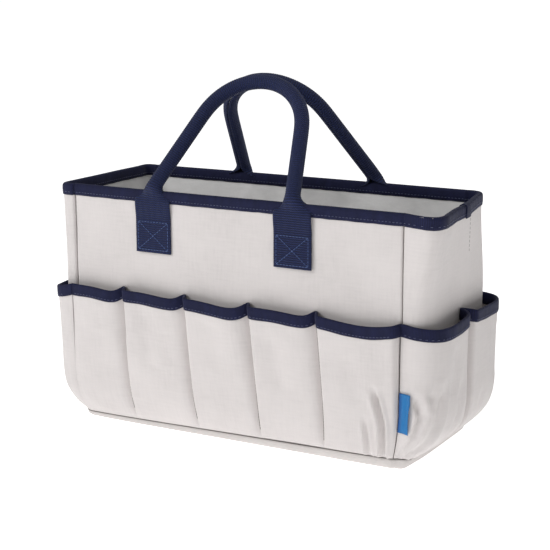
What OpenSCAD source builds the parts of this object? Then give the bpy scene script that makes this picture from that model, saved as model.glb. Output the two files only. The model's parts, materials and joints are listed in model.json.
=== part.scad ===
// Soft-sided garden tool bag with a ring of outside pockets and two webbing carry handles.
// The origin is on the floor, under the middle of the whole bag. X runs along the front,
// Y runs from the front to the back, and Z is up.

/* [Bag shell] */
// Length of the bag at its rim
rim_l = 395; // [360:1:420]
// Length of the bag at its waist, just above the base
waist_l = 385; // [350:1:420]
// Length of the base
base_l = 358; // [330:1:390]
// Depth of the bag at its rim
rim_w = 156; // [140:1:170]
// Depth of the bag at its waist
waist_w = 153; // [136:1:166]
// Depth of the base
base_w = 146; // [130:1:160]
// Height of the walls, under the rim binding
wall_h = 244; // [220:1:270]
// Height of the waist above the floor
waist_h = 40; // [30:1:50]
// Corner radius at the rim
rim_r = 16; // [10:1:24]
// Corner radius at the waist
waist_r = 12; // [8:1:20]
// Corner radius at the base
base_r = 8; // [6:0.5:14]
// How far the slack right end bows out at the rim
rim_bow = 20; // [0:1:30]
// How far the slack right end bows out at the waist
waist_bow = 10; // [0:1:20]
// Shift of the shell along X, which centres the whole bag on the origin
shell_x = -9.9; // [-12:0.1:4]

/* [Wall layers] */
// Thickness of the outer fabric
fabric_t = 1.2; // [0.8:0.1:1.6]
// Thickness of the foam between the fabric and the lining
foam_t = 2.1; // [1:0.1:3]
// Thickness of the lining
lining_t = 0.7; // [0.5:0.1:1]
// Height of the strip of base fabric that turns up to the bottom seam
lip_h = 8; // [6:0.5:12]
// Thickness of the board in the base
board_t = 3.5; // [2:0.1:4]

/* [Pockets] */
// Height of the pocket bands' top edge
band_top = 139; // [110:1:160]
// How far each pocket stands out between its sewn lines
pocket_out = 8; // [6:0.5:12]
// How far the slack pockets on the right end stand out
right_pocket_out = 13; // [8:0.5:16]
// Width of each stitched line between pockets
stitch_w = 3; // [2:0.5:4]

/* [Binding tape] */
// Height of the tape down each face
tape_h = 11; // [8:0.5:14]
// Thickness of the tape
tape_t = 0.9; // [0.6:0.1:1]

/* [Handles] */
// Width of the handle webbing
webbing_w = 40; // [35:1:45]
// Thickness of the webbing
webbing_t = 1.6; // [1.2:0.1:2]
// Distance between the middles of a handle's two feet
foot_gap = 155; // [140:1:170]
// Middle of the front handle along X
front_handle_x = -18; // [-24:1:10]
// Middle of the back handle along X
back_handle_x = -6; // [-20:1:10]
// Height of the tabs' lower edge
tab_bottom = 183; // [170:1:190]
// Height of the line where the webbing bends, at the tabs' top stitch
bend_z = 217.2; // [205:0.1:225]
// Diameter of the round grip
grip_d = 14.4; // [12:0.1:18]
// Length of each handle from the rim to its crest, along its slope
arch_h = 125; // [110:1:130]
// Radius of the round crest of each handle
arch_r = 58; // [50:1:62]
// How far the front handle's crest leans to the right of the middle of its feet
front_skew = 7; // [-12:1:12]
// How far the back handle's crest leans to the right of the middle of its feet
back_skew = -11; // [-12:1:12]
// Slope of each handle in from upright, in degrees
lean = 35; // [32:0.5:35]

/* [Tag] */
// Width of the tag
tag_w = 10; // [8:0.5:12]
// Height of the tag
tag_h = 38; // [30:1:45]
// Height of the tag's lower edge
tag_z = 40; // [30:1:60]

/* [Hidden] */

fabric_colour = "#DCD8D3";
lining_colour = "#E8E8E9";
foam_colour = "#F2F1EC";
board_colour = "#8A8F94";
navy = "#232A52";
thread_colour = "#4A6290";
tag_colour = "#0A7EC8";

$fn = 48;
clear = 0.1;
wall_t = fabric_t + foam_t + lining_t + 2 * clear;
board_z = fabric_t + clear;
base_lining_z = board_z + board_t + clear;
cavity_z = base_lining_z + lining_t + clear;
sewn_off = tape_t + 3 * clear;
band_bottom = lip_h + 0.5;

// The walls are numbered round the bag by a station from 0 to 8: even numbers start the
// straight front, right, back and left sides, and odd numbers start the corners between them.
front_right_seam = 1;
back_right_seam = 4;
back_left_seam = 5;
front_left_seam = 8;
corner_steps = [0, 0.25, 0.5, 0.75];
bow_steps = [0, 0.08, 0.2, 0.35, 0.6, 0.8];
right_side = 2;
// Makes the bow fullest near the front corner
bow_skew = 0.62;
knots = [for (k = [0:7])
    each [for (t = k % 2 == 1 ? corner_steps : k == right_side ? bow_steps : [0]) k + t]];

// Stations of the sewn lines that part the pockets, and how far each pocket takes to open out
long_seams = [0, 0.17, 0.37, 0.56, 0.76, 1];
long_ramp = 0.028;
long_ramps = [for (s = long_seams) long_ramp];
end_seams = [0, 1.5, 3];
end_ramps = [0.5, 0.08, 0.5];
// Stations closer than this are the same
same_u = 0.001;
stitch_half = stitch_w / 2 / (rim_l - 2 * rim_r);
end_stitch_half = stitch_w / 2 / (rim_w - 2 * rim_r);

// Heights where every layer of the walls has an edge, so that they nest
wall_bottom = lip_h + clear;
wall_levels = [wall_bottom, waist_h, band_top - tape_h, band_top, wall_h - tape_h, wall_h];

// Placing of the tabs and handles, outside the wall and the rim binding
tab_y = rim_w / 2;
leg_y = rim_w / 2 + tape_t + 4 * clear;
crown_z = wall_h + 3;
// Length of each leg, along its slope, in which the webbing folds up into a tube
grip_start = 15;

function mix(a, b, t) = a + (b - a) * t;

function at_height(base, waist, rim, z) =
    z < waist_h ? mix(base, waist, z / waist_h)
                : mix(waist, rim, (z - waist_h) / (wall_h - waist_h));

// Middles of the four corner arcs, from the front right corner round to the front left one
function corner_middles(z) =
    let (r = at_height(base_r, waist_r, rim_r, z),
         a = at_height(base_l, waist_l, rim_l, z) / 2 - r,
         b = at_height(base_w, waist_w, rim_w, z) / 2 - r)
    [[a, -b], [a, b], [-a, b], [-a, -b]];

// How far the right end bows out at height z and share t of the way along it
function bow(z, t) =
    (z < lip_h ? 0
     : z < waist_h ? mix(0, waist_bow, (z - lip_h) / (waist_h - lip_h))
     : at_height(0, waist_bow, rim_bow, z)) * sin(180 * pow(t, bow_skew));

// A point on the wall's outer face, moved out by off
function wall_point(u, z, off) =
    let (k = floor(u) % 8,
         t = u - floor(u),
         side = floor(k / 2),
         straight = k % 2 == 0,
         middles = corner_middles(z),
         middle = straight ? mix(middles[(side + 3) % 4], middles[side], t) : middles[side],
         angle = 90 * (side - 1) + (straight ? 0 : 90 * t),
         reach = at_height(base_r, waist_r, rim_r, z) + off + (k == right_side ? bow(z, t) : 0))
    [shell_x + middle.x + reach * cos(angle), middle.y + reach * sin(angle), z];

// Stations from u0 up to u1, which is left out, with every knot between them
function span(u0, u1) =
    concat([u0], [for (turn = [0, 8], k = knots)
                      if (k + turn > u0 + same_u && k + turn < u1 - same_u) k + turn]);

// One face of a flat layer of the wall from height z0 up, as a list of [off, z]
function layer(z0, off) =
    [for (z = concat(z0 < wall_bottom ? [z0] : [], wall_levels)) [off, z]];

// Outer and inner faces of tape folded over an edge that lies from off i to off o
function tape_outside(i, o, top) =
    [[o + tape_t, top - tape_h], [o + tape_t, top + tape_t], [i - tape_t, top + tape_t],
     [i - tape_t, top - tape_h]];
function tape_inside(i, o, top) =
    [[o + clear, top - tape_h], [o + clear, top + clear], [i - clear, top + clear],
     [i - clear, top - tape_h]];

// A solid that runs along the wall through the stations us, between two faces. Each face is
// a function from a station to a list of [off, z].
module along_wall(us, outside, inside, closed = false) {
    m = len(outside(us[0]));
    n = len(us);
    points = [for (u = us) each [for (p = concat(outside(u), inside(u))) wall_point(u, p.y, p.x)]];
    loop = concat([for (i = [0:m - 1]) i], [for (i = [m - 1:-1:0]) m + i]);
    // Both faces are split along the same diagonals, so that a thin layer never crosses itself
    sides = [for (i = [0:(closed ? n : n - 1) - 1], j = [0:2 * m - 1])
        let (here = i * 2 * m, next = ((i + 1) % n) * 2 * m,
             a = here + loop[j], b = here + loop[(j + 1) % (2 * m)],
             c = next + loop[j], d = next + loop[(j + 1) % (2 * m)])
        each j < m ? [[a, b, d], [a, d, c]] : [[a, b, c], [b, d, c]]];
    last = (n - 1) * 2 * m;
    caps = closed ? [] : [for (i = [0:m - 2]) each
        [[i, m + i, m + i + 1], [i, m + i + 1, i + 1],
         [last + i, last + m + i + 1, last + m + i], [last + i, last + i + 1, last + m + i + 1]]];
    polyhedron(points = points, faces = concat(sides, caps), convexity = 10);
}

module wall_layer(u0, u1, z0, out, t) {
    along_wall(concat(span(u0, u1), [u1]), function(u) layer(z0, out), function(u) layer(z0, out - t));
}

// The outline of the base, pulled in by inset, as a plate
module base_plate(z, t, inset) {
    outline = [for (u = knots) let (p = wall_point(u, 0, -inset)) [p.x, p.y]];
    translate([0, 0, z]) linear_extrude(t) polygon(outline);
}

// How far open a pocket is at station u, from 0 at a sewn line to 1
function openness(u, seams, ramps) =
    min(1, min([for (i = [0:len(seams) - 1]) abs(u - seams[i]) / ramps[i]]));

function band_stations(seams, ramps) =
    concat([for (i = [0:len(seams) - 2])
               let (opened = seams[i] + ramps[i], closing = seams[i + 1] - ramps[i + 1])
               each concat(span(seams[i], opened), span(opened, closing),
                           span(closing, seams[i + 1]))],
           [seams[len(seams) - 1]]);

module pocket_band(start, seams, ramps, out = pocket_out) {
    sewn = [for (s = seams) s + start];
    face = function(u, t)
        let (off = sewn_off + out * openness(u, sewn, ramps) + t)
        [[clear + t, band_bottom], [off, waist_h], [off, band_top - tape_h], [off, band_top]];
    color(fabric_colour)
        along_wall(band_stations(sewn, ramps), function(u) face(u, fabric_t), function(u) face(u, 0));
}

module pocket_binding(start, seams, ramps, out = pocket_out) {
    sewn = [for (s = seams) s + start];
    back = function(u) sewn_off + out * openness(u, sewn, ramps);
    color(navy)
        along_wall(band_stations(sewn, ramps),
                   function(u) tape_outside(back(u), back(u) + fabric_t, band_top),
                   function(u) tape_inside(back(u), back(u) + fabric_t, band_top));
}

// The sewn lines between pockets, each a strip of thread from the wall to the band
module pocket_stitching(start, seams, half) {
    margin = 1;
    bottom = waist_h + margin;
    top = band_top - tape_h - margin;
    color(thread_colour)
        for (i = [1:len(seams) - 2])
            along_wall([start + seams[i] - half, start + seams[i] + half],
                       function(u) [[sewn_off - clear, bottom], [sewn_off - clear, top]],
                       function(u) [[clear, bottom], [clear, top]]);
}

module bottom_panel() {
    color(fabric_colour) {
        base_plate(0, fabric_t, 0);
        along_wall(knots, function(u) [[0, 0], [0, lip_h]],
                   function(u) [[-fabric_t, 0], [-fabric_t, lip_h]], closed = true);
    }
}

module base_board() {
    color(board_colour) base_plate(board_z, board_t, fabric_t + 4 * clear);
}

module base_lining() {
    color(lining_colour) base_plate(base_lining_z, lining_t, fabric_t + 4 * clear);
}

module outer_wall(u0, u1) {
    color(fabric_colour) wall_layer(u0, u1, wall_bottom, 0, fabric_t);
}

module foam(u0, u1) {
    color(foam_colour) wall_layer(u0, u1, cavity_z, -fabric_t - clear, foam_t);
}

module lining(u0, u1) {
    color(lining_colour) wall_layer(u0, u1, cavity_z, -fabric_t - foam_t - 2 * clear, lining_t);
}

module front_wall() { outer_wall(0, front_right_seam); }
module right_end_wall() { outer_wall(front_right_seam, back_right_seam); }
module back_wall() { outer_wall(back_right_seam, back_left_seam); }
module left_end_wall() { outer_wall(back_left_seam, front_left_seam); }

module front_foam() { foam(0, front_right_seam); }
module right_end_foam() { foam(front_right_seam, back_right_seam); }
module back_foam() { foam(back_right_seam, back_left_seam); }
module left_end_foam() { foam(back_left_seam, front_left_seam); }

module front_lining() { lining(0, front_right_seam); }
module right_end_lining() { lining(front_right_seam, back_right_seam); }
module back_lining() { lining(back_right_seam, back_left_seam); }
module left_end_lining() { lining(back_left_seam, front_left_seam); }

module front_pocket_band() { pocket_band(0, long_seams, long_ramps); }
module right_pocket_band() { pocket_band(front_right_seam, end_seams, end_ramps, right_pocket_out); }
module back_pocket_band() { pocket_band(back_right_seam, long_seams, long_ramps); }
module left_pocket_band() { pocket_band(back_left_seam, end_seams, end_ramps); }

module front_pocket_binding() { pocket_binding(0, long_seams, long_ramps); }
module right_pocket_binding() {
    pocket_binding(front_right_seam, end_seams, end_ramps, right_pocket_out);
}
module back_pocket_binding() { pocket_binding(back_right_seam, long_seams, long_ramps); }
module left_pocket_binding() { pocket_binding(back_left_seam, end_seams, end_ramps); }

module front_pocket_stitching() { pocket_stitching(0, long_seams, stitch_half); }
module right_pocket_stitching() { pocket_stitching(front_right_seam, end_seams, end_stitch_half); }
module back_pocket_stitching() { pocket_stitching(back_right_seam, long_seams, stitch_half); }
module left_pocket_stitching() { pocket_stitching(back_left_seam, end_seams, end_stitch_half); }

module rim_binding() {
    color(navy)
        along_wall(knots, function(u) tape_outside(-wall_t, 0, wall_h),
                   function(u) tape_inside(-wall_t, 0, wall_h), closed = true);
}

// A flat end of webbing sewn to the front wall, with its middle at x
module tab(x) {
    color(navy)
        translate([x - webbing_w / 2, -tab_y - webbing_t, tab_bottom])
            cube([webbing_w, webbing_t, bend_z - 2 * clear - tab_bottom]);
}

// The thread on a tab: a box with a cross in it
module tab_box_stitch(x) {
    thread = 0.9;
    raised = 0.5;
    edge = 3;
    w = webbing_w - 2 * edge;
    h = bend_z - tab_bottom - 2 * edge;
    cross = norm([w, h]) - 2 * thread;
    color(thread_colour)
        translate([x, -tab_y - webbing_t - clear, tab_bottom + edge + h / 2]) rotate([90, 0, 0]) {
            linear_extrude(raised) difference() {
                square([w, h], center = true);
                square([w - 2 * thread, h - 2 * thread], center = true);
            }
            for (a = [-1, 1])
                linear_extrude(raised) rotate(a * atan2(h, w)) square([cross, thread], center = true);
        }
}

// The tilt and length of a leg whose foot is side * foot_gap / 2 from the middle, up to where
// it meets the crest's arc
function leg_reach(side, skew) = foot_gap / 2 - side * skew;
function leg_tilt(side, skew) =
    atan2(leg_reach(side, skew), arch_h - arch_r)
    - asin(arch_r / norm([leg_reach(side, skew), arch_h - arch_r]));
function leg_l(side, skew) =
    sqrt(pow(leg_reach(side, skew), 2) + pow(arch_h - arch_r, 2) - pow(arch_r, 2));

// Children at a foot, with Z along the leg
module on_leg(side, skew) {
    translate([side * foot_gap / 2, 0, 0])
        rotate(side * leg_tilt(side, skew)) rotate([-90, 0, 0]) children();
}

// The path of a grip in its own sloping plane, as a rod of diameter d. Its legs are a hair
// thinner than its crest, and run a little way into it.
module arch_rod(d, foot, skew) {
    step = 2 * clear;
    overlap = 1;
    sweep = 180 - leg_tilt(1, skew) - leg_tilt(-1, skew);
    translate([skew, arch_h - arch_r, 0]) rotate(leg_tilt(1, skew))
        rotate_extrude(angle = sweep) translate([arch_r, 0]) circle(d = d);
    for (side = [-1, 1])
        on_leg(side, skew) translate([0, 0, foot])
            cylinder(d = d - step, h = leg_l(side, skew) - foot + overlap);
}

module on_handle_plane(x) {
    translate([x, -leg_y - webbing_t / 2, crown_z]) rotate([90 - lean, 0, 0]) children();
}

// Webbing of a handle: two flat legs that fold up into a round tube
module handle_webbing(x, skew) {
    core_bore = grip_d - 2 * webbing_t;
    flat_bottom = bend_z + 2 * clear;
    slice = 0.8;
    plug = 1.3;
    color(navy) {
        on_handle_plane(x) difference() {
            arch_rod(grip_d, grip_start, skew);
            arch_rod(core_bore, grip_start + plug, skew);
        }
        for (side = [-1, 1]) {
            left = x + side * foot_gap / 2 - webbing_w / 2;
            translate([left, -leg_y - webbing_t, flat_bottom])
                cube([webbing_w, webbing_t, crown_z - flat_bottom]);
            hull() {
                translate([left, -leg_y - webbing_t, crown_z - slice])
                    cube([webbing_w, webbing_t, slice]);
                on_handle_plane(x) on_leg(side, skew)
                    translate([0, 0, grip_start]) cylinder(d = grip_d, h = slice, $fn = 32);
            }
        }
    }
}

module handle_core(x, skew) {
    core_start = grip_start + 1.8;
    color(foam_colour)
        on_handle_plane(x) arch_rod(grip_d - 2 * webbing_t - 4 * clear, core_start, skew);
}

module front_left_tab() { tab(front_handle_x - foot_gap / 2); }
module front_right_tab() { tab(front_handle_x + foot_gap / 2); }
module back_left_tab() { mirror([0, 1, 0]) tab(back_handle_x - foot_gap / 2); }
module back_right_tab() { mirror([0, 1, 0]) tab(back_handle_x + foot_gap / 2); }

module front_tab_stitching() {
    for (side = [-1, 1])
        tab_box_stitch(front_handle_x + side * foot_gap / 2);
}

module back_tab_stitching() {
    mirror([0, 1, 0])
        for (side = [-1, 1])
            tab_box_stitch(back_handle_x + side * foot_gap / 2);
}

module front_handle_webbing() { handle_webbing(front_handle_x, front_skew); }
module front_handle_core() { handle_core(front_handle_x, front_skew); }
module back_handle_webbing() { mirror([0, 1, 0]) handle_webbing(back_handle_x, back_skew); }
module back_handle_core() { mirror([0, 1, 0]) handle_core(back_handle_x, back_skew); }

// A folded tag held in the front right corner seam, lying back over the end pocket
module side_tag() {
    seam_lap = 1.2;
    seam = wall_point(front_right_seam, tag_z + tag_h / 2, sewn_off + fabric_t + seam_lap);
    tag_t = 0.8;
    tag_swing = 30;
    color(tag_colour)
        translate([seam.x, seam.y, tag_z]) rotate(-tag_swing)
            translate([0, -tag_t / 2, 0]) cube([tag_w, tag_t, tag_h]);
}

bottom_panel();
base_board();
base_lining();
front_wall();
back_wall();
left_end_wall();
right_end_wall();
front_foam();
back_foam();
left_end_foam();
right_end_foam();
front_lining();
back_lining();
left_end_lining();
right_end_lining();
front_pocket_band();
back_pocket_band();
left_pocket_band();
right_pocket_band();
front_pocket_binding();
back_pocket_binding();
left_pocket_binding();
right_pocket_binding();
front_pocket_stitching();
back_pocket_stitching();
left_pocket_stitching();
right_pocket_stitching();
rim_binding();
front_left_tab();
front_right_tab();
back_left_tab();
back_right_tab();
front_tab_stitching();
back_tab_stitching();
front_handle_webbing();
front_handle_core();
back_handle_webbing();
back_handle_core();
side_tag();
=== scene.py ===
"""Garden tool bag with a ring of outside pockets and two round-gripped webbing handles.

Everything is in metres, in the row frame. The bag's walls, layers, pocket bands and bindings all
come from one shell surface, which is a function of a station u (0 to 8 round the bag), a height z
and a distance off from the wall's outer face, so that they nest as sewn cloth does.
"""
import json
import math

import bmesh
import bpy
import numpy as np
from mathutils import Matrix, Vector


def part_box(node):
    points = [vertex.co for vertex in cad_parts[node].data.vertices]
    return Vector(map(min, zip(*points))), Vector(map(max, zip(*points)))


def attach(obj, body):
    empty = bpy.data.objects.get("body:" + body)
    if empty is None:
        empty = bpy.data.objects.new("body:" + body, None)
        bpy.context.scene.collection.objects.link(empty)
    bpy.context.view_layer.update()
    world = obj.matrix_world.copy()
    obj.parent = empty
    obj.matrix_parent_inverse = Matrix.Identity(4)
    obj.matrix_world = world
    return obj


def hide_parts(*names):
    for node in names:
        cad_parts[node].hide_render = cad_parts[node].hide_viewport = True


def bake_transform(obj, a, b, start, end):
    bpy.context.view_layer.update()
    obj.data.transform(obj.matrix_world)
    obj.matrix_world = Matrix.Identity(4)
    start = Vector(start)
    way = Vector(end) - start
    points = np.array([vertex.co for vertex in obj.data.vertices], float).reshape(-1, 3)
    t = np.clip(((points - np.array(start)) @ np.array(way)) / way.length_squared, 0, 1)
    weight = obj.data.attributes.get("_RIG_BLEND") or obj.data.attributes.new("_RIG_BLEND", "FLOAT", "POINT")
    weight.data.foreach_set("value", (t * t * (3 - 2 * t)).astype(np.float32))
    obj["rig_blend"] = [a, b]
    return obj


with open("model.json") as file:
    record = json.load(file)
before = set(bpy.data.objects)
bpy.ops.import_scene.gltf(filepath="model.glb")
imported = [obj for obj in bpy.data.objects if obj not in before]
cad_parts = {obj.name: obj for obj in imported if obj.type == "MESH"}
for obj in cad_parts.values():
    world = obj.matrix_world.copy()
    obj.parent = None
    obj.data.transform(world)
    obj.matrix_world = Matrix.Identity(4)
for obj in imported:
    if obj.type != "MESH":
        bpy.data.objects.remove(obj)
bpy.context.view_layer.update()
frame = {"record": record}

MM = 0.001
BAG, FRONT_HANDLE, BACK_HANDLE, TAG = "bag", "front_handle", "back_handle", "tag"

# The shell, with the sizes that drive the CAD model
RIM_L, WAIST_L, BASE_L = 395 * MM, 385 * MM, 358 * MM
RIM_W, WAIST_W, BASE_W = 156 * MM, 153 * MM, 146 * MM
RIM_R, WAIST_R, BASE_R = 16 * MM, 12 * MM, 8 * MM
WAIST_H = 40 * MM
WAIST_SOFT = 20 * MM
WALL_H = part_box("front_wall")[1].z
LIP_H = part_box("bottom_panel")[1].z
BAND_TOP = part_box("front_pocket_band")[1].z
SHELL_X = (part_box("front_wall")[0].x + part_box("front_wall")[1].x) / 2
SEAM_RISE = 0.0155  # the bottom seam climbs this much per metre towards the right end

# The layers of a wall
FABRIC_T, FOAM_T, LINING_T, GAP = 1.2 * MM, 2.1 * MM, 0.7 * MM, 0.1 * MM
FOAM_DEPTH = FABRIC_T + GAP
LINING_DEPTH = FOAM_DEPTH + FOAM_T + GAP
WALL_T = LINING_DEPTH + LINING_T
BOARD_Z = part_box("base_board")[0].z
BASE_LINING_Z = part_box("base_lining")[0].z
CAVITY_Z = BASE_LINING_Z + LINING_T + GAP

TAPE_H, TAPE_T = 11 * MM, 0.9 * MM
WOBBLE, RIM_WOBBLE = 0.15 * MM, 0.12 * MM  # how far the tapes' lower edges stray from straight
WEBBING_W, WEBBING_T = 40 * MM, 1.6 * MM
HINGE_Z = frame["record"]["behaviour"]["joints"][0]["pos_m"][2]  # where the front strap folds

SEAM_GROOVE, SEAM_W = 1.9 * MM, 1.1 * MM
SEAM_GAP = 0.35 * MM  # half the slit that shows between two panels
SHUT_GAP = 0.04 * MM  # half the gap where two edges are drawn tight
BAND_STEP, FINEST, BAND_GROWTH = 2.2 * MM, 0.4 * MM, 0.1
RIM_GROOVE = 0.9 * MM  # depth of the upright seams under the rim tape
SEAMS = (0, 1, 4, 5, 8)

random = np.random.default_rng(5)


# -------- curves and the shell surface

def soften(values, step, width):
    """Evenly spaced values, smoothed over a width along them."""
    n = int(3 * width / step)
    kernel = np.exp(-0.5 * (np.arange(-n, n + 1) * step / width) ** 2)
    padded = np.pad(values, n, mode="reflect", reflect_type="odd")
    return np.convolve(padded, kernel / kernel.sum(), mode="valid")


def curve(knots, soft=0.0):
    """A function through (x, y) knots, whose corners are softened over a width of soft."""
    xs, ys = np.array(knots, float).T
    grid = np.linspace(xs[0], xs[-1], 1001)
    values = np.interp(grid, xs, ys)
    if soft:
        values = soften(values, grid[1] - grid[0], soft)
    return lambda x: np.interp(x, grid, values)


def smooth_min(a, b, k):
    h = np.clip(0.5 + 0.5 * (b - a) / k, 0, 1)
    return b * (1 - h) + a * h - k * h * (1 - h)


def distances(path):
    """How far along a path each of its points lies."""
    return np.concatenate([[0], np.cumsum(np.linalg.norm(np.diff(path, axis=0), axis=1))])


def unit(vectors):
    return vectors / np.linalg.norm(vectors, axis=-1, keepdims=True)


def smoothstep(t):
    t = np.clip(t, 0, 1)
    return t * t * (3 - 2 * t)


def at_height(base, waist, rim, z):
    """A size of the shell at height z: the CAD's two slopes, with the bend at the waist softened."""
    lower_slope, upper_slope = (waist - base) / WAIST_H, (rim - waist) / (WALL_H - WAIST_H)
    lower = base + lower_slope * z
    upper = waist + upper_slope * (z - WAIST_H)
    return smooth_min(lower, upper, WAIST_SOFT * (lower_slope - upper_slope))


# How far the shell stands out from plain round corners and flat sides, in millimetres, at the base,
# the waist and the rim. The left corners are nearly square, and the slack right end bulges.
SQUARE = [(5, 0), (5.25, 1.3), (5.5, 4.2), (5.75, 1.3), (6, 0), (7, 0), (7.25, 1.3), (7.5, 4.4),
          (7.75, 1.3), (8, 0)]
BASE_BULGE = curve([(0, -2.2), (0.04, -1), (0.1, 0), (0.9, 0), (1, -1), (1.3, -3.5), (1.6, -1.5),
                    (2, 4), (2.3, 7), (3, 7), (3.5, 5), (4, 0), (5, 0), (7, 0), (7.3, -1.8), (7.6, -3),
                    (8, -2.2)], 0.06)
WAIST_BULGE = curve([(0, 0), (1, 0), (1.25, 1), (1.5, 4.5), (1.8, 9), (2.1, 12.5), (2.5, 13), (2.8, 12),
                     (3, 11), (3.4, 9), (3.8, 2), (4, 0)] + SQUARE, 0.05)
RIM_BULGE = curve([(0, 0), (1, 0), (1.2, 1.5), (1.456, 11.7), (1.536, 21), (1.66, 26), (1.935, 23.3),
                   (2.28, 17.1), (2.48, 16.5), (2.75, 9), (3.0, 3.5), (3.43, 4), (3.8, 1), (4, 0)]
                  + SQUARE, 0.05)
RIM_BULGE_FROM = 0.15  # height where the shell starts to turn from the waist's shape to the rim's


def bulge(u, z):
    low = BASE_BULGE(u) + (WAIST_BULGE(u) - BASE_BULGE(u)) * smoothstep(z / WAIST_H)
    rising = smoothstep((z - RIM_BULGE_FROM) / (WALL_H - RIM_BULGE_FROM))
    return (low + (RIM_BULGE(u) - low) * rising) * MM


def wall_point(u, z, off=0.0):
    """Points on the shell at stations u and heights z, moved out by off."""
    u, z, off = np.broadcast_arrays(np.asarray(u, float), z, off)
    whole = np.floor(u).astype(int)
    k, t = whole % 8, u - whole
    side, straight = k // 2, k % 2 == 0
    r = at_height(BASE_R, WAIST_R, RIM_R, z)
    half_l = at_height(BASE_L, WAIST_L, RIM_L, z) / 2 - r
    half_w = at_height(BASE_W, WAIST_W, RIM_W, z) / 2 - r
    sign_x, sign_y = np.array([1, 1, -1, -1]), np.array([-1, 1, 1, -1])
    along = np.where(straight, t, 1)
    before = (side + 3) % 4
    x = half_l * (sign_x[before] + (sign_x[side] - sign_x[before]) * along)
    y = half_w * (sign_y[before] + (sign_y[side] - sign_y[before]) * along)
    angle = np.radians(90.0 * (side - 1) + np.where(straight, 0, 90 * t))
    reach = r + off + bulge(u, z)
    return np.stack([SHELL_X + x + reach * np.cos(angle), y + reach * np.sin(angle), z], -1)


ARC_Z = 0.14  # distances round the bag are measured at this height
U_GRID = np.linspace(0, 8, 8001)
ARC = distances(wall_point(U_GRID, ARC_Z))


def arc_at(u):
    return np.interp(u, U_GRID, ARC)


def station_at(s):
    return np.interp(s, ARC, U_GRID)


def seam_z(u):
    """Height of the bottom seam, which climbs gently to the right."""
    return LIP_H + SEAM_RISE * (wall_point(u, 0.0)[..., 0] - SHELL_X)


# Soft dents all over the walls: (place along the arc, height, depth, half length, half height)
DENTS = np.column_stack([random.uniform(0, ARC[-1], 60), random.uniform(0.03, 0.24, 60),
                         random.uniform(0.3, 1.1, 60) * MM, random.uniform(0.018, 0.06, 60),
                         random.uniform(0.02, 0.07, 60)])


def relief(u, z, groove=0.0):
    """How far the wall's outer face lies from the plain shell: soft dents and the pinched seams."""
    s = arc_at(u)
    out = np.zeros(np.broadcast(s, z).shape)
    for at, height, depth, length, tall in DENTS:
        out = out - depth * np.exp(-((s - at) / length) ** 2 - ((z - height) / tall) ** 2)
    for seam in SEAMS:
        out = out - groove * np.exp(-((s - arc_at(seam)) / SEAM_W) ** 2)
    return out


def shell(u, z, depth=0.0, groove=0.0):
    """Points on a layer of the wall at that depth under its outer face."""
    return wall_point(u, z, relief(u, z, groove) - depth)


def stations(u0, u1, step, close=(), finest=0.4 * MM, growth=0.25, gaps=(0, 0)):
    """Stations from u0 to u1, short of each by its gap, about step apart along the arc, and closer
    near the stations close."""
    s, end = arc_at(u0) + gaps[0], arc_at(u1) - gaps[1]
    marks = [arc_at(c) for c in close]
    out = []
    while s < end - finest / 2:
        out.append(s)
        s += min([step] + [finest + growth * abs(s - m) for m in marks])
    out.append(end)
    return station_at(np.array(out))


# -------- mesh building

def new_mesh(name, verts, faces, cloth):
    """A mesh object. cloth is each vertex's place on the flat cloth, for its material."""
    mesh = bpy.data.meshes.new(name)
    mesh.from_pydata(np.asarray(verts).tolist(), [], faces)
    mesh.validate()
    bm = bmesh.new()
    bm.from_mesh(mesh)
    bmesh.ops.recalc_face_normals(bm, faces=bm.faces)
    bm.to_mesh(mesh)
    bm.free()
    mesh.shade_smooth()
    attribute = mesh.attributes.new("cloth", "FLOAT_VECTOR", "POINT")
    attribute.data.foreach_set("vector", np.asarray(cloth, np.float32).ravel())
    obj = bpy.data.objects.new(name, mesh)
    bpy.context.scene.collection.objects.link(obj)
    return obj


def loop_faces(n, m, closed_n, closed_m, start=0):
    """Quads over an n by m grid of vertices."""
    faces = []
    for i in range(n if closed_n else n - 1):
        a, b = start + i * m, start + ((i + 1) % n) * m
        for j in range(m if closed_m else m - 1):
            k = (j + 1) % m
            faces.append((a + j, b + j, b + k, a + k))
    return faces


def cloth_grid(along, up):
    """Places on the flat cloth."""
    return np.stack(np.broadcast_arrays(along, up, 0.0), -1)


def slab(name, outer, inner, cloth, ring=False):
    """A closed layer between two (n, m, 3) grids. With ring, it runs round and meets itself."""
    n, m = outer.shape[:2]
    half = n * m
    faces = loop_faces(n, m, ring, False)
    faces += [tuple(v + half for v in reversed(f)) for f in faces]
    for i in range(n if ring else n - 1):
        a, b = i * m, ((i + 1) % n) * m
        for j in (0, m - 1):
            faces.append((a + j, a + j + half, b + j + half, b + j))
    if not ring:
        for a in (0, (n - 1) * m):
            faces += [(a + j, a + j + 1, a + j + 1 + half, a + j + half) for j in range(m - 1)]
    verts = np.concatenate([outer.reshape(-1, 3), inner.reshape(-1, 3)])
    flat = cloth.reshape(-1, 3)
    return new_mesh(name, verts, faces, np.concatenate([flat, flat]))


def sweep(name, rings, cloth, closed=False):
    """A tube through (n, m, 3) closed rings, capped at its ends unless it is closed."""
    n, m = rings.shape[:2]
    faces = loop_faces(n, m, closed, True)
    if not closed:
        faces += [tuple(range(m)), tuple(reversed(range((n - 1) * m, n * m)))]
    return new_mesh(name, rings.reshape(-1, 3), faces, cloth.reshape(-1, 3))


def circle(n):
    """The cosines and sines of n even steps round a circle."""
    angles = np.linspace(0, 2 * np.pi, n, endpoint=False)
    return np.cos(angles), np.sin(angles)


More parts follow.
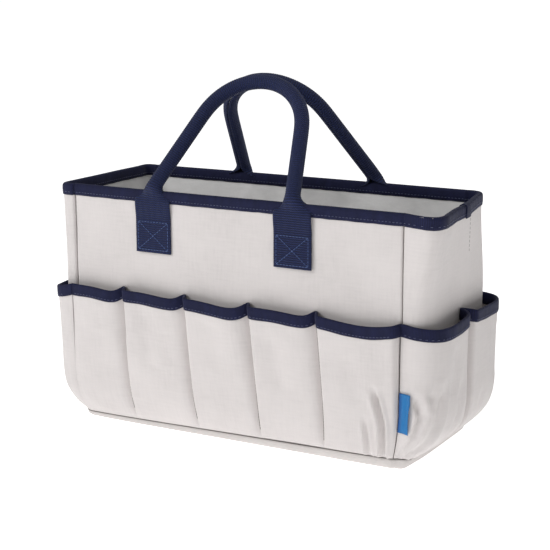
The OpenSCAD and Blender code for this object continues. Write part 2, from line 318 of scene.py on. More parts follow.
def domed(name, rings):
    """A closed body through rings (n, m, 3) about an upright axis, closed by a point at each end."""
    n, m = rings.shape[:2]
    verts = np.concatenate([rings.reshape(-1, 3), [rings[0].mean(0)], [rings[-1].mean(0)]])
    faces = loop_faces(n, m, False, True)
    last = (n - 1) * m
    faces += [(n * m, j, (j + 1) % m) for j in range(m)]
    faces += [(n * m + 1, last + (j + 1) % m, last + j) for j in range(m)]
    return new_mesh(name, verts, faces, verts)


def normals_of(grid):
    """The outward normals of a grid of points on a surface."""
    return unit(np.cross(np.gradient(grid, axis=0), np.gradient(grid, axis=1)))


# A stitch's outline: (place along it, thickness), as shares of half its length and of its thickness
STITCH = np.array([(-1.0, 0.35), (-0.8, 0.85), (0, 1.0), (0.8, 0.85), (1.0, 0.35)])


def stitches(name, points, along, normals, length=2.3 * MM, thick=0.3 * MM):
    """A row of sewn stitches, each a short rounded dash of thread, as one mesh."""
    sides, rows = 6, len(STITCH)
    verts, faces = [], []
    for p, t, n in zip(points, unit(along), normals):
        b = unit(np.cross(n, t))
        n = np.cross(t, b)
        start = len(verts)
        for place, size in STITCH:
            for cos, sin in zip(*circle(sides)):
                verts.append(p + t * place * length / 2 + (b * cos + n * sin) * thick * size)
        faces += loop_faces(rows, sides, False, True, start)
        faces += [tuple(range(start, start + sides)),
                  tuple(reversed(range(start + (rows - 1) * sides, start + rows * sides)))]
    return new_mesh(name, verts, faces, np.array(verts))


def finish_piece(obj, material, slot, *nodes, body=BAG):
    obj.data.materials.append(material)
    if nodes:
        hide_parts(*nodes)
    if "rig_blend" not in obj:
        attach(obj, body)
    return obj


# -------- materials

class Nodes:
    """Short calls for building a material's node tree."""

    def __init__(self, name):
        self.material = bpy.data.materials.new(name)
        self.material.use_nodes = True
        self.tree = self.material.node_tree
        self.shader = self.tree.nodes["Principled BSDF"]
        self.place = self.add("ShaderNodeAttribute", attribute_name="cloth").outputs["Vector"]

    def add(self, kind, **settings):
        node = self.tree.nodes.new(kind)
        for key, value in settings.items():
            setattr(node, key, value)
        return node

    def link(self, a, b):
        self.tree.links.new(a, b)

    def mapped(self, setting, value):
        """The place on the cloth, through a mapping if there is a value for its setting."""
        if not value:
            return self.place
        mapping = self.add("ShaderNodeMapping")
        mapping.inputs[setting].default_value = value
        self.link(self.place, mapping.inputs["Vector"])
        return mapping.outputs["Vector"]

    def noise(self, scale, detail=2.0, stretch=None):
        """Noise with scale bumps a metre."""
        node = self.add("ShaderNodeTexNoise")
        node.inputs["Scale"].default_value = scale
        node.inputs["Detail"].default_value = detail
        self.link(self.mapped("Scale", stretch), node.inputs["Vector"])
        return node.outputs["Fac"]

    def bands(self, period, direction, distortion=0.0, turn=0.0):
        """Parallel ribs, period metres apart, turned by that many degrees."""
        node = self.add("ShaderNodeTexWave", wave_type="BANDS", bands_direction=direction,
                        wave_profile="SIN")
        node.inputs["Scale"].default_value = math.pi / 10 / period
        node.inputs["Distortion"].default_value = distortion
        spin = turn and (0, 0, math.radians(turn))
        self.link(self.mapped("Rotation", spin), node.inputs["Vector"])
        return node.outputs["Fac"]

    def math(self, operation, a, b):
        node = self.add("ShaderNodeMath", operation=operation)
        for socket, value in zip(node.inputs, (a, b)):
            if isinstance(value, (int, float)):
                socket.default_value = value
            else:
                self.link(value, socket)
        return node.outputs["Value"]

    def mixed(self, *parts):
        """The sum of (value, weight) parts."""
        *rest, total = [self.math("MULTIPLY", *part) for part in parts]
        for part in reversed(rest):
            total = self.math("ADD", part, total)
        return total

    def colour(self, fac, stops):
        """Base colour from (place, colour) stops."""
        node = self.add("ShaderNodeValToRGB")
        elements = node.color_ramp.elements
        while len(elements) < len(stops):
            elements.new(0.5)
        for element, (place, colour) in zip(elements, stops):
            element.position = place
            element.color = (*colour, 1)
        self.link(fac, node.inputs["Fac"])
        self.link(node.outputs["Color"], self.shader.inputs["Base Color"])

    def roughness(self, fac, low, high):
        node = self.add("ShaderNodeMapRange")
        node.inputs["To Min"].default_value = low
        node.inputs["To Max"].default_value = high
        self.link(fac, node.inputs["Value"])
        self.link(node.outputs["Result"], self.shader.inputs["Roughness"])

    def bump(self, *layers):
        """Bump from (height, distance) layers, one on another."""
        normal = None
        for height, distance in layers:
            node = self.add("ShaderNodeBump")
            node.inputs["Strength"].default_value = 1.0
            node.inputs["Distance"].default_value = distance
            self.link(height, node.inputs["Height"])
            if normal is not None:
                self.link(normal, node.inputs["Normal"])
            normal = node.outputs["Normal"]
        self.link(normal, self.shader.inputs["Normal"])

    def set(self, **values):
        for key, value in values.items():
            self.shader.inputs[key.replace("_", " ")].default_value = value
        return self.material


def shades(colour, *stops):
    """Colour stops from (place, brightness) pairs."""
    return [(place, tuple(min(c * f, 1) for c in colour)) for place, f in stops]


def canvas(name, colour, weave=0.62 * MM):
    """Coated plain-weave canvas, with slubs in its threads and faint uneven dyeing."""
    n = Nodes(name)
    over = n.math("MULTIPLY", n.bands(weave, "X", 0.3), n.bands(weave, "Y", 0.3))
    under = n.math("MULTIPLY", n.math("SUBTRACT", 1, n.bands(weave, "X", 0.3)),
                   n.math("SUBTRACT", 1, n.bands(weave, "Y", 0.3)))
    threads = n.math("ADD", over, under)
    slubs = n.math("ADD", n.noise(420, 3, (0.12, 1, 1)), n.noise(420, 3, (1, 0.12, 1)))
    cloudy = n.noise(14, 3)
    mixed = n.mixed((cloudy, 0.45), (threads, 0.16), (slubs, 0.22))
    n.colour(mixed, shades(colour, (0.25, 0.84), (0.5, 1.0), (0.75, 1.09)))
    n.roughness(slubs, 0.72, 0.9)
    n.bump((cloudy, 0.5 * MM), (slubs, 0.05 * MM), (threads, 0.07 * MM))
    return n.set(Sheen_Weight=0.12, Sheen_Roughness=0.5, Specular_IOR_Level=0.3)


def tape(name, colour):
    """Folded polyester binding: fine cross ribs, fuzz and small puckers."""
    n = Nodes(name)
    ribs = n.bands(0.9 * MM, "X", 1.2)
    fuzz = n.noise(900, 3)
    pucker = n.noise(140, 2, (1, 0.4, 1))
    mixed = n.mixed((ribs, 0.25), (fuzz, 0.4), (pucker, 0.35))
    n.colour(mixed, shades(colour, (0.3, 0.62), (0.5, 1.0), (0.72, 1.7)))
    n.roughness(fuzz, 0.68, 0.9)
    n.bump((pucker, 0.6 * MM), (ribs, 0.1 * MM), (fuzz, 0.1 * MM))
    return n.set(Sheen_Weight=0.07, Sheen_Roughness=0.4, Specular_IOR_Level=0.2)


def webbing(name, colour):
    """Coarse polyester webbing: heavy cross ribs with a herringbone of yarns over them."""
    n = Nodes(name)
    ribs = n.bands(2.2 * MM, "Y", 0.4)
    left, right = n.bands(1.3 * MM, "X", 0.5, turn=38), n.bands(1.3 * MM, "X", 0.5, turn=-38)
    rows = n.bands(7 * MM, "X", 0.0)
    left_share = n.math("GREATER_THAN", rows, 0.5)
    yarns = n.math("ADD", n.math("MULTIPLY", left, left_share),
                   n.math("MULTIPLY", right, n.math("SUBTRACT", 1, left_share)))
    fuzz = n.noise(1100, 3)
    mixed = n.mixed((ribs, 0.3), (yarns, 0.35), (fuzz, 0.35))
    n.colour(mixed, shades(colour, (0.25, 0.3), (0.5, 1.0), (0.75, 2.5)))
    n.roughness(fuzz, 0.55, 0.8)
    n.bump((ribs, 0.35 * MM), (yarns, 0.3 * MM), (fuzz, 0.12 * MM))
    return n.set(Sheen_Weight=0.08, Sheen_Roughness=0.35, Specular_IOR_Level=0.25)


def thread(name, colour):
    n = Nodes(name)
    twist = n.bands(0.5 * MM, "DIAGONAL", 0.5)
    n.colour(twist, shades(colour, (0.2, 0.75), (0.8, 1.25)))
    n.bump((twist, 0.1 * MM))
    return n.set(Roughness=0.5, Sheen_Weight=0.2)


def nylon(name, colour):
    """Thin coated nylon lining, crumpled and slightly shiny."""
    n = Nodes(name)
    crumple = n.noise(38, 4)
    fine = n.noise(160, 3)
    weave = n.math("MULTIPLY", n.bands(0.5 * MM, "X"), n.bands(0.5 * MM, "Y"))
    n.colour(crumple, shades(colour, (0.3, 0.9), (0.5, 1.0), (0.7, 1.05)))
    n.roughness(fine, 0.38, 0.6)
    n.bump((crumple, 2.2 * MM), (fine, 0.35 * MM), (weave, 0.04 * MM))
    return n.set(Specular_IOR_Level=0.5, Sheen_Weight=0.05, Coat_Weight=0.08, Coat_Roughness=0.4)


def foam(name, colour):
    n = Nodes(name)
    cells = n.noise(1500, 2)
    n.colour(cells, shades(colour, (0.35, 0.85), (0.65, 1.05)))
    n.bump((cells, 0.3 * MM))
    return n.set(Roughness=0.95)


def board(name, colour):
    n = Nodes(name)
    grain = n.noise(700, 3, (0.3, 1, 1))
    n.colour(grain, shades(colour, (0.35, 0.8), (0.65, 1.15)))
    n.roughness(grain, 0.55, 0.75)
    n.bump((grain, 0.15 * MM))
    return n.set(Specular_IOR_Level=0.4)


def ribbon(name, colour, edge):
    """Satin ribbon with fine cross ribs and a darker strip beside the seam."""
    n = Nodes(name)
    ribs = n.bands(0.45 * MM, "Y", 0.2)
    split = n.add("ShaderNodeSeparateXYZ")
    n.link(n.place, split.inputs["Vector"])
    n.colour(split.outputs["X"], [(0.0012, edge), (0.0016, colour)])
    n.roughness(ribs, 0.35, 0.5)
    n.bump((ribs, 0.08 * MM))
    return n.set(Sheen_Weight=0.03, Specular_IOR_Level=0.5)


CANVAS = canvas("greige_canvas", (0.67, 0.632, 0.622))
BASE_CANVAS = canvas("greige_base_canvas", (0.62, 0.585, 0.57), 0.75 * MM)
TAPE = tape("navy_binding", (0.009, 0.011, 0.040))
WEBBING = webbing("navy_webbing", (0.0075, 0.0125, 0.050))
BLUE_THREAD = thread("blue_thread", (0.06, 0.11, 0.30))
NAVY_THREAD = thread("navy_thread", (0.045, 0.055, 0.13))
STITCH_SHADE_THREAD = thread("greige_thread_painted_shade", (0.15, 0.13, 0.12))  # painted shade: dark thread that stands in for the shadow lines along the stitched folds
# painted shade: the colour of the dark cords that stand in for the shade in the seams
SEAM_SHADE_CORD = thread("seam_shade_cord", (0.13, 0.11, 0.10))
LINING = nylon("white_lining", (0.80, 0.793, 0.785))
FOAM = foam("white_foam", (0.85, 0.84, 0.80))
BOARD = board("grey_board", (0.26, 0.28, 0.30))
RIBBON = ribbon("blue_ribbon", (0.0, 0.165, 0.45), (0.0, 0.05, 0.24))


# -------- camera, floor and light

CAMERA_AT = Vector((0.709, -1.291, 0.477))
CAMERA_BACK = Vector((0.4716, -0.8556, 0.2132))
LENS = 98.18
FLOOR_HALF = 200.0
FLOOR_GLOW = 0.72
WORLD_LIGHT = 0.34
LIGHTS = [("key", (-1.3, -1.9, 1.7), 1.0, 27), ("top", (0.1, 0.5, 2.3), 1.6, 11)]
LIGHTS_AIM = Vector((0, 0, 0.13))


def aimed(name, data, place, direction):
    """A camera or a light, put at a place and turned to face a direction."""
    obj = bpy.data.objects.new(name, data)
    obj.location = place
    obj.rotation_mode = "QUATERNION"
    obj.rotation_quaternion = direction.to_track_quat("-Z", "Y")
    bpy.context.scene.collection.objects.link(obj)
    return obj


def make_camera():
    data = bpy.data.cameras.new("camera")
    data.lens, data.sensor_width = LENS, 36
    bpy.context.scene.camera = aimed("camera", data, CAMERA_AT, -CAMERA_BACK)


def make_floor():
    n = Nodes("pale_floor")
    n.colour(n.noise(3, 2), [(0.3, (0.90, 0.90, 0.90)), (0.7, (0.93, 0.93, 0.93))])
    n.set(Roughness=0.9, Specular_IOR_Level=0.1, Emission_Color=(1, 1, 1, 1),
          Emission_Strength=FLOOR_GLOW)
    corners = FLOOR_HALF * np.array([(-1, -1, 0), (1, -1, 0), (1, 1, 0), (-1, 1, 0)])
    floor = new_mesh("floor", corners - [0, 0, GAP], [(0, 1, 2, 3)], corners)
    floor.data.materials.append(n.material)


def area_light(name, place, size, power):
    data = bpy.data.lights.new(name, "AREA")
    data.shape, data.size, data.size_y, data.energy = "RECTANGLE", size, size, power
    aimed(name, data, place, LIGHTS_AIM - Vector(place))


def make_light():
    world = bpy.data.worlds.new("studio")
    world.use_nodes = True
    background = world.node_tree.nodes["Background"]
    background.inputs["Color"].default_value = (1, 1, 1, 1)
    background.inputs["Strength"].default_value = WORLD_LIGHT
    bpy.context.scene.world = world
    bpy.context.scene.view_settings.view_transform = "Standard"
    for light in LIGHTS:
        area_light(*light)


make_camera()
make_floor()
make_light()


# -------- walls, foam and lining

PANELS = {"front": (0, 1), "right_end": (1, 4), "back": (4, 5), "left_end": (5, 8)}
PANEL_STEP = 4 * MM
WRINKLES = np.column_stack([random.uniform(0, ARC[-1], 150), random.uniform(0.02, 0.24, 150),
                            random.uniform(0.3, 1.6, 150) * MM, random.uniform(-1.3, 1.3, 150),
                            random.uniform(0.003, 0.008, 150), random.uniform(0.012, 0.045, 150)])


def crumple(u, z):
    """Loose wrinkles that stand the lining off the wall, each a short ridge at its own angle."""
    s = arc_at(u)
    out = np.zeros(np.broadcast(s, z).shape)
    for at, height, size, turn, narrow, long in WRINKLES:
        x, y = s - at, z - height
        along, across = x * math.sin(turn) + y * math.cos(turn), x * math.cos(turn) - y * math.sin(turn)
        out = np.maximum(out, size * np.exp(-(across / narrow) ** 2 - (along / long) ** 2))
    return out


def wall_rows(bottom, step=5 * MM):
    """Heights from the bottom, which may differ by station, up to the top of the wall."""
    share = np.linspace(0, 1, int((WALL_H - CAVITY_Z) / step) + 1)
    return bottom + (WALL_H - bottom) * share


def make_panel(side, u0, u1):
    """The outer cloth of one wall and the foam behind it."""
    u = stations(u0, u1, PANEL_STEP, (u0, u1), gaps=(SEAM_GAP, SEAM_GAP))[:, None]
    lowest = seam_z(u) + GAP
    z = wall_rows(lowest)
    turn_in = 1.2 * MM * np.exp(-((z - lowest) / (1.5 * MM)) ** 2)
    outer = shell(u, z, turn_in, SEAM_GROOVE)
    inner = shell(u, z, turn_in + FABRIC_T, SEAM_GROOVE)
    wall = slab(f"{side}_wall_cloth", outer, inner, cloth_grid(arc_at(u), z))
    finish_piece(wall, CANVAS, "bag_fabric", f"{side}_wall")

    z = wall_rows(CAVITY_Z)
    from_seam = np.minimum(arc_at(u) - arc_at(u0), arc_at(u1) - arc_at(u))
    pinched = SEAM_GROOVE * np.exp(-(from_seam / SEAM_W) ** 2)
    pad = slab(f"{side}_foam_pad", shell(u, z, FOAM_DEPTH + pinched),
               shell(u, z, FOAM_DEPTH + FOAM_T), cloth_grid(arc_at(u), z))
    finish_piece(pad, FOAM, "foam", f"{side}_foam")


def make_lining(side, u0, u1):
    """The crumpled lining of one wall."""
    u = stations(u0, u1, 2.5 * MM)[:, None]
    z = wall_rows(CAVITY_Z, 2.5 * MM)
    loose = crumple(u, z) * smoothstep((WALL_H - 8 * MM - z) / (18 * MM))
    outer = shell(u, z, LINING_DEPTH)
    inner = shell(u, z, LINING_DEPTH + LINING_T + loose)
    lining = slab(f"{side}_lining_cloth", outer, inner, cloth_grid(arc_at(u), z))
    finish_piece(lining, LINING, "lining", f"{side}_lining")


def drawn_in(ring, shares, z):
    """Rings at height z, each a share of a ring's size about the middle of the base."""
    middle = np.array([SHELL_X, 0, 0])
    rings = middle + (ring - middle) * shares[:, None, None]
    rings[..., 2] = z
    return rings


def make_base():
    """The base cloth with its turned-up lip, the board on it and the lining over the board."""
    u = stations(0, 8, 5 * MM)[:-1]
    edge = seam_z(u)
    rim = wall_point(u, edge, -0.9 * MM)
    shares = np.linspace(0.04, 0.985, 22)
    foot = wall_point(u, 0 * u, -4.2 * MM)
    under = [*drawn_in(foot, shares, 0.0), foot]
    side = [wall_point(u, edge * f, off * MM) for f, off in
            ((0.03, -2.6), (0.12, -1.1), (0.3, 0.1), (0.55, 0.45), (0.8, 0.35), (0.93, -0.1))]
    inside = [wall_point(u, edge * f, off * MM) for f, off in
              ((1.0, -2.1), (0.85, -1.5), (0.5, -1.3), (0.25, -2.2))]
    floor_ring = wall_point(u, 0 * u + FABRIC_T, -5.2 * MM)
    top = [floor_ring, *drawn_in(floor_ring, shares[::-1], FABRIC_T)]
    base = domed("base_cloth", np.array(under + side + [rim] + inside + top))
    finish_piece(base, BASE_CANVAS, "bag_fabric", "bottom_panel")

    board_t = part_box("base_board")[1].z - BOARD_Z
    rings = []
    for z, off in ((0, -6.2), (0.5, -5.6), (board_t / MM - 0.5, -5.6), (board_t / MM, -6.2)):
        edge_ring = wall_point(u, 0 * u, off * MM)
        edge_ring[:, 2] = BOARD_Z + z * MM
        rings.append(edge_ring)
    lower = drawn_in(rings[0], shares, BOARD_Z)
    upper = drawn_in(rings[-1], shares[::-1], BOARD_Z + board_t)
    stiff = domed("base_stiffener", np.array([*lower, *rings, *upper]))
    finish_piece(stiff, BOARD, "base_board", "base_board")

    fine = np.linspace(0.03, 0.985, 60)
    outer_ring = wall_point(u, 0 * u, -(WALL_T + 0.4 * MM))
    low = drawn_in(outer_ring, fine, BASE_LINING_Z)
    high = drawn_in(outer_ring, fine[::-1], BASE_LINING_Z + LINING_T)
    x, y = high[..., 0], high[..., 1]
    high[..., 2] += 0.8 * crumple(station_at(np.mod(x * 1.3 + y + 0.5, ARC[-1])), np.mod(y + 0.1, 0.24))
    sole = domed("base_lining_cloth", np.concatenate([low, high]))
    finish_piece(sole, LINING, "lining", "base_lining")


# -------- pocket bands

class Band:
    """One sheet of pockets along a side, sewn to the wall at its seams and along its bottom.

    Stations are those of its top edge; lower down its seams stray by drift. out and open_at say how
    far it stands out, and valley, ends and end_depth how it closes to the wall at a seam. sags are
    its mouths' (depth, skew), folds are (path, depth, width), and lead is the (out, open_at) that
    it starts with."""

    def __init__(self, side, start, seams, drift, out, open_at, sags, folds, ends,
                 valley=((3.2, 7.0), (1.8, 3.2)), end_depth=(1, 1), lead=None):
        self.side = side
        self.node = side.replace("_end", "")
        self.seams = [start + s for s in seams]
        self.drift = curve(list(zip(self.seams, drift)))
        self.out, self.open_at, self.valley = out, open_at, valley
        self.sags, self.folds, self.ends = sags, folds, [width * MM for width in ends]
        self.end_depth, self.lead = end_depth, lead
        self.u0, self.u1 = self.seams[0], self.seams[-1]

    def station(self, u, z):
        return u + self.drift(u) * (1 - z / BAND_TOP)

    def top(self, u):
        """Height of the mouth: a little ear at each sewn line, and a sag between them."""
        z = np.full(np.shape(u), BAND_TOP) + 3.4 * MM
        for a, b, (depth, skew) in zip(self.seams, self.seams[1:], self.sags):
            t = np.clip((u - a) / (b - a), 0, 1)
            z = z - depth * MM * np.sin(np.pi * t ** skew)
        for seam in self.seams[1:-1]:
            z = z + 1.6 * MM * np.exp(-((arc_at(u) - arc_at(seam)) / (5 * MM)) ** 2)
        return z

    def off(self, u, z):
        """How far the sheet's outer face stands off the wall."""
        s = arc_at(u)
        low = smoothstep((z - 0.009) / 0.03)
        sewn = (1.3 + 1.1 * low) * MM
        closed = 0
        for i, seam in enumerate(self.seams):
            high = smoothstep(z / BAND_TOP)
            before, after = ((low_w + (top_w - low_w) * high) * MM for low_w, top_w in self.valley)
            depth = 1.0
            if i == 0:
                after, depth = self.ends[0], self.end_depth[0]
            if i == len(self.seams) - 1:
                before, depth = self.ends[1], self.end_depth[1]
            d = s - arc_at(seam)
            near = np.abs(d) / np.where(d < 0, before, after)
            closed = np.maximum(closed, depth * np.exp(-near ** np.where(d < 0, 1.25, 2)))
        stand = self.out * self.open_at(z)
        if self.lead:
            lead_out, lead_open = self.lead
            share = smoothstep((s - arc_at(self.u0)) / LEAD_L)
            stand = lead_out * lead_open(z) * (1 - share) + stand * share
        out = sewn + stand * (1 - closed)
        folded = 0
        for path, depth, width in self.folds:
            folded = folded + depth * MM * near_path(s, z, path, width * MM)
        return np.maximum(out - folded * np.minimum(1, 2.5 * (1 - closed)), sewn)

    def surface(self, u, z, away=0.0):
        """The outer face, moved away from it along its own normal."""
        at = lambda uu, zz: wall_point(self.station(uu, zz), zz,
                                       relief(self.station(uu, zz), zz) + self.off(uu, zz))
        point = at(u, z)
        if np.all(away == 0):
            return point
        d = 0.3 * MM
        low = np.maximum(station_at(arc_at(u) - d), self.u0)
        high = np.minimum(station_at(arc_at(u) + d), self.u1)
        normal = unit(np.cross(at(high, z) - at(low, z), at(u, z + d) - at(u, z - d)))
        return point + normal * np.asarray(away)[..., None]

    def bottom(self, u):
        return seam_z(self.station(u, LIP_H)) + 0.5 * MM

    def make(self):
        spaced = lambda *gaps: stations(self.u0, self.u1, BAND_STEP, self.seams, FINEST, BAND_GROWTH,
                                        gaps)
        u = spaced(*(SEAM_GAP if depth == 1 else SHUT_GAP for depth in self.end_depth))[:, None]
        share = np.linspace(0, 1, 64) ** 1.15
        low, high = self.bottom(u), self.top(u)
        z = low + (high - low) * share
        outer = self.surface(u, z)
        tuck = 1.1 * MM * np.exp(-((z - low) / (1.3 * MM)) ** 2)
        outer = outer - tuck[..., None] * normals_of(outer)
        inner = outer - normals_of(outer) * FABRIC_T
        band = slab(f"{self.side}_pocket_cloth", outer, inner, cloth_grid(arc_at(u), z))
        finish_piece(band, CANVAS, "bag_fabric", f"{self.node}_pocket_band")
        self.make_binding(spaced(SHUT_GAP, SHUT_GAP))
        self.make_stitching()

    def make_binding(self, u):
        outer, inner = GAP + TAPE_T, -(FABRIC_T + GAP + TAPE_T)
        mid = -FABRIC_T / 2
        profile = [(TAPE_H, outer), (TAPE_H * 0.75, outer), (TAPE_H * 0.5, outer + 0.1 * MM),
                   (TAPE_H * 0.25, outer + 0.05 * MM), (1.4 * MM, outer), (0.2 * MM, outer - 0.15 * MM),
                   (-0.6 * MM, outer * 0.55), (-0.95 * MM, mid), (-0.6 * MM, inner * 0.75),
                   (0.3 * MM, inner + 0.1 * MM), (TAPE_H * 0.5, inner), (TAPE_H, inner),
                   (TAPE_H, -(FABRIC_T + GAP)), (0.1 * MM, -(FABRIC_T + GAP)), (0.1 * MM, GAP),
                   (TAPE_H, GAP)]
        drop, away = np.array(profile).T
        top = self.top(u)[:, None]
        wobble = WOBBLE * np.sin(arc_at(u)[:, None] * 210) * (drop > TAPE_H * 0.9)
        z = top - drop - wobble
        rings = self.surface(u[:, None], z, away)
        cloth = cloth_grid(arc_at(u)[:, None], drop)
        binding = sweep(f"{self.side}_pocket_tape", rings, cloth)
        finish_piece(binding, TAPE, "binding_tape", f"{self.node}_pocket_binding")
        s = np.arange(arc_at(self.u0) + 5 * MM, arc_at(self.u1) - 5 * MM, 3.6 * MM)
        us = station_at(s)
        place = lambda uu: self.surface(uu, self.top(uu) - TAPE_H * 0.8, outer + 0.12 * MM)
        along = place(station_at(s + 0.5 * MM)) - place(station_at(s - 0.5 * MM))
        row = stitches(f"{self.side}_tape_stitches", place(us), along, flat_normal_at(us))
        finish_piece(row, NAVY_THREAD, "thread")

    def make_stitching(self):
        points, along, normals = [], [], []
        for seam in self.seams[1:-1]:
            z = np.arange(WAIST_H * 0.5, BAND_TOP - TAPE_H, 2.9 * MM)
            u = np.full(z.shape, seam)
            points.append(self.surface(u, z, 0.1 * MM))
            along.append(self.surface(u, z + MM) - self.surface(u, z))
            normals.append(flat_normal_at(u))
        # painted shade: thick, close-set dark stitches make the shadow line along each pocket divider's fold
        row = stitches(f"{self.side}_pocket_stitches_and_fold_shade", *map(np.concatenate, (points, along, normals)),
                       length=2.8 * MM, thick=0.36 * MM)
        finish_piece(row, STITCH_SHADE_THREAD, "thread", f"{self.node}_pocket_stitching")


def flat_normal_at(u):
    """The level direction straight out from the wall at station u."""
    return unit(wall_point(u, 0.1, 1 * MM) - wall_point(u, 0.1))


def near_path(s, z, path, width):
    """1 on a path of (arc, height) points, falling to 0 to either side, with a low lip beyond."""
    best = np.full(np.broadcast(s, z).shape, 9.0)
    share = np.zeros(best.shape)
    points = [(float(arc_at(u)), h) for u, h in path]
    for i, ((x0, y0), (x1, y1)) in enumerate(zip(points, points[1:])):
        dx, dy = x1 - x0, y1 - y0
        t = np.clip(((s - x0) * dx + (z - y0) * dy) / (dx * dx + dy * dy), 0, 1)
        d = np.hypot(s - x0 - t * dx, z - y0 - t * dy)
        share = np.where(d < best, (i + t) / (len(points) - 1), share)
        best = np.minimum(best, d)
    strength = np.minimum(1, 2.2 * np.sin(np.pi * np.clip(share, 0.02, 0.98)))
    d = best / width
    return strength * (np.exp(-d ** 2) - 0.35 * np.exp(-((d - 2.1) / 0.9) ** 2))


LEFT_OUT = 7.6 * MM
LEAD_L = 45 * MM  # over which the first front pocket takes over the left band's shape
LONG_SEAMS = (0, 0.16, 0.36, 0.56, 0.76, 1)
LONG_DRIFT = (0, 0.017, 0.034, 0.039, 0.036, 0)
LONG_OPEN = curve([(0.0085, 0), (0.012, 0.16), (0.018, 0.34), (0.03, 0.5), (0.045, 0.62), (0.075, 0.82),
                   (0.11, 0.97), (0.139, 1.08), (0.15, 1.1)], 0.003)
LEFT_OPEN = curve([(0.0085, 0), (0.012, 0.42), (0.018, 0.72), (0.03, 0.86), (0.045, 0.88), (0.075, 0.92),
                   (0.11, 1.0), (0.139, 1.1), (0.15, 1.1)], 0.003)
RIGHT_OPEN = curve([(0.0085, 0), (0.012, 0.22), (0.018, 0.45), (0.03, 0.75), (0.045, 0.92), (0.06, 1),
                    (0.11, 1), (0.139, 1), (0.15, 1)], 0.003)
LONG_FOLDS = [
    ([(0.235, 0.132), (0.24, 0.09), (0.25, 0.06)], 1.6, 8),
    ([(0.30, 0.11), (0.31, 0.07)], 0.8, 10),
    ([(0.63, 0.12), (0.645, 0.06)], 1.4, 9),
    ([(0.09, 0.10), (0.10, 0.05)], 0.9, 12),
    ([(0.45, 0.125), (0.47, 0.07)], 1.0, 11),
    ([(0.86, 0.11), (0.88, 0.06)], 1.0, 10),
    ([(0.93, 0.08), (0.958, 0.045), (0.974, -0.012)], 6.5, 2.6),
    ([(0.90, 0.05), (0.93, -0.012)], 3.6, 2.4),
]
RIGHT_FOLDS = [
    ([(1.52, 0.076), (1.68, 0.058), (1.56, 0.034), (1.16, -0.012)], 7.5, 2.8),
    ([(1.86, 0.085), (1.84, 0.055), (1.50, -0.010)], 5.0, 2.8),
    ([(2.02, 0.085), (1.98, 0.05), (1.8, 0.016)], 6.0, 3.0),
    ([(2.32, 0.085), (2.28, 0.05), (2.2, 0.02)], 2.0, 4.5),
    ([(2.75, 0.06), (2.7, 0.02)], 1.6, 4.5),
    ([(2.2, 0.12), (2.15, 0.07)], 1.4, 8),
    ([(3.0, 0.12), (3.0, 0.06)], 1.4, 9),
]
BANDS = [
    Band("front", 0, LONG_SEAMS, LONG_DRIFT, 8.6 * MM, LONG_OPEN,
         [(2.6, 3.4), (2.4, 3.2), (3.8, 2.2), (2.6, 3.4), (4.6, 1.3)], LONG_FOLDS, (6.0, 2.2),
         end_depth=(0.14, 1), lead=(LEFT_OUT, LEFT_OPEN)),
    Band("right_end", 1, (0, 1.5, 3), (0, 0, 0), 13 * MM, RIGHT_OPEN,
         [(3.6, 1.7), (3.0, 0.9)], RIGHT_FOLDS, (24, 6), ((3.5, 5), (2.5, 3.5))),
    Band("back", 4, LONG_SEAMS, (0, -0.01, -0.006, 0.004, 0.008, 0), 8.6 * MM, LONG_OPEN,
         [(4.0, 1.2), (3.0, 0.8), (5.0, 1.1), (4.4, 0.9), (3.4, 1.2)],
         [([(4.1, 0.12), (4.09, 0.06)], 1.4, 9), ([(4.47, 0.125), (4.46, 0.07)], 1.2, 10),
          ([(4.66, 0.11), (4.67, 0.05)], 1.0, 9), ([(4.9, 0.12), (4.91, 0.07)], 1.2, 8),
          ([(4.03, 0.05), (4.02, 0.01)], 2.0, 3.5)], (3, 3)),
    Band("left_end", 5, (0, 1.5, 3), (0, 0, 0), LEFT_OUT, LEFT_OPEN,
         [(5.0, 1.1), (4.6, 1.0)],
         [([(5.9, 0.12), (5.92, 0.06)], 1.4, 9), ([(7.1, 0.12), (7.08, 0.06)], 1.3, 9),
          ([(6.2, 0.04), (6.18, 0.012)], 1.8, 4)], (5, 6), ((3, 5), (2.4, 4)), (1, 0.14)),
]


# -------- rim binding and seams

TAPE_LAP = 2.42  # station on the right end where the rim tape's ends overlap
CREASE = 2.62  # station of the short stitched line on the right end
CREASE_BOTTOM = 0.198


